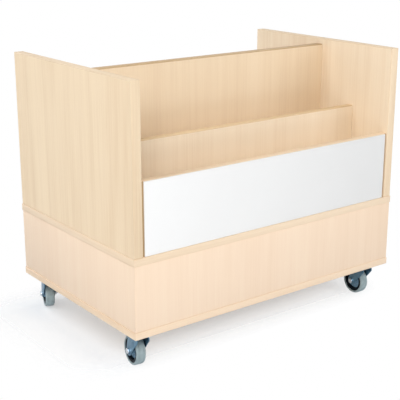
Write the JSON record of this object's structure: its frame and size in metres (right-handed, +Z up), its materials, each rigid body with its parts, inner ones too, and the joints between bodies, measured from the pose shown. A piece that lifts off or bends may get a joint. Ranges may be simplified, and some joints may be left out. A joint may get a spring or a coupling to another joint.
{
  "type": "picture book browser bin",
  "caption": "Wooden double-sided picture book browser bin: stepped open pockets between tall side panels on a closed plinth, with a white front plate and swivel castors.",
  "frame": {"origin": "on the floor, under the middle of the bin's width and depth", "axes": "+X to the right along the bin's width as seen from the front, +Y to the rear, +Z up; the white plate faces -Y"},
  "size_m": [0.853, 0.5632, 0.711],
  "materials": {
    "birch_board": "matt birch-grain melamine with matching edge bands",
    "white_laminate": "smooth white laminate with a low sheen",
    "zinc_steel": "blue zinc-plated pressed steel",
    "bright_steel": "bright plated steel",
    "black_plastic": "moulded black plastic",
    "grey_rubber": "grey non-marking rubber"
  },
  "bodies": {
    "carcass": {"left_side_panel": "birch_board", "right_side_panel": "birch_board", "centre_divider": "birch_board", "front_step_divider": "birch_board", "front_board": "birch_board", "rear_step_divider": "birch_board", "rear_board": "birch_board", "front_facing_plate": "white_laminate", "deck_board": "birch_board", "bottom_board": "birch_board", "front_plinth_panel": "birch_board", "right_plinth_panel": "birch_board", "rear_plinth_panel": "birch_board", "left_plinth_panel": "birch_board", "front_left_castor_plate": "zinc_steel", "front_left_swivel_bearing": "black_plastic", "front_left_king_pin": "bright_steel", "front_right_castor_plate": "zinc_steel", "front_right_swivel_bearing": "black_plastic", "front_right_king_pin": "bright_steel", "rear_left_castor_plate": "zinc_steel", "rear_left_swivel_bearing": "black_plastic", "rear_left_king_pin": "bright_steel", "rear_right_castor_plate": "zinc_steel", "rear_right_swivel_bearing": "black_plastic", "rear_right_king_pin": "bright_steel"},
    "front_left_swivel": {"front_left_fork": "zinc_steel", "front_left_axle_bolt": "bright_steel", "front_left_axle_nut": "bright_steel", "front_left_axle_sleeve": "bright_steel"},
    "front_left_wheel": {"front_left_wheel_rim": "black_plastic", "front_left_tyre": "grey_rubber"},
    "front_right_swivel": {"front_right_fork": "zinc_steel", "front_right_axle_bolt": "bright_steel", "front_right_axle_nut": "bright_steel", "front_right_axle_sleeve": "bright_steel"},
    "front_right_wheel": {"front_right_wheel_rim": "black_plastic", "front_right_tyre": "grey_rubber"},
    "rear_left_swivel": {"rear_left_fork": "zinc_steel", "rear_left_axle_bolt": "bright_steel", "rear_left_axle_nut": "bright_steel", "rear_left_axle_sleeve": "bright_steel"},
    "rear_left_wheel": {"rear_left_wheel_rim": "black_plastic", "rear_left_tyre": "grey_rubber"},
    "rear_right_swivel": {"rear_right_fork": "zinc_steel", "rear_right_axle_bolt": "bright_steel", "rear_right_axle_nut": "bright_steel", "rear_right_axle_sleeve": "bright_steel"},
    "rear_right_wheel": {"rear_right_wheel_rim": "black_plastic", "rear_right_tyre": "grey_rubber"}
  },
  "joints": [
    {"name": "front_left_swivel_turn", "type": "hinge", "parent": "carcass", "child": "front_left_swivel", "pos_m": [-0.383, -0.225, 0.08716], "axis": [0, 0, 1], "continuous": true},
    {"name": "front_left_wheel_roll", "type": "hinge", "parent": "front_left_swivel", "child": "front_left_wheel", "pos_m": [-0.38008, -0.20118, 0.03726], "axis": [0.9925, -0.1219, 0], "continuous": true},
    {"name": "front_right_swivel_turn", "type": "hinge", "parent": "carcass", "child": "front_right_swivel", "pos_m": [0.383, -0.225, 0.08716], "axis": [0, 0, 1], "continuous": true},
    {"name": "front_right_wheel_roll", "type": "hinge", "parent": "front_right_swivel", "child": "front_right_wheel", "pos_m": [0.38384, -0.20101, 0.03726], "axis": [0.9994, -0.0349, 0], "continuous": true},
    {"name": "rear_left_swivel_turn", "type": "hinge", "parent": "carcass", "child": "rear_left_swivel", "pos_m": [-0.383, 0.225, 0.08716], "axis": [0, 0, 1], "continuous": true},
    {"name": "rear_left_wheel_roll", "type": "hinge", "parent": "rear_left_swivel", "child": "rear_left_wheel", "pos_m": [-0.37519, 0.24769, 0.03726], "axis": [0.9455, -0.3256, 0], "continuous": true},
    {"name": "rear_right_swivel_turn", "type": "hinge", "parent": "carcass", "child": "rear_right_swivel", "pos_m": [0.383, 0.225, 0.08716], "axis": [0, 0, 1], "continuous": true},
    {"name": "rear_right_wheel_roll", "type": "hinge", "parent": "rear_right_swivel", "child": "rear_right_wheel", "pos_m": [0.38799, 0.24848, 0.03726], "axis": [0.9781, -0.2079, 0], "continuous": true}
  ]
}
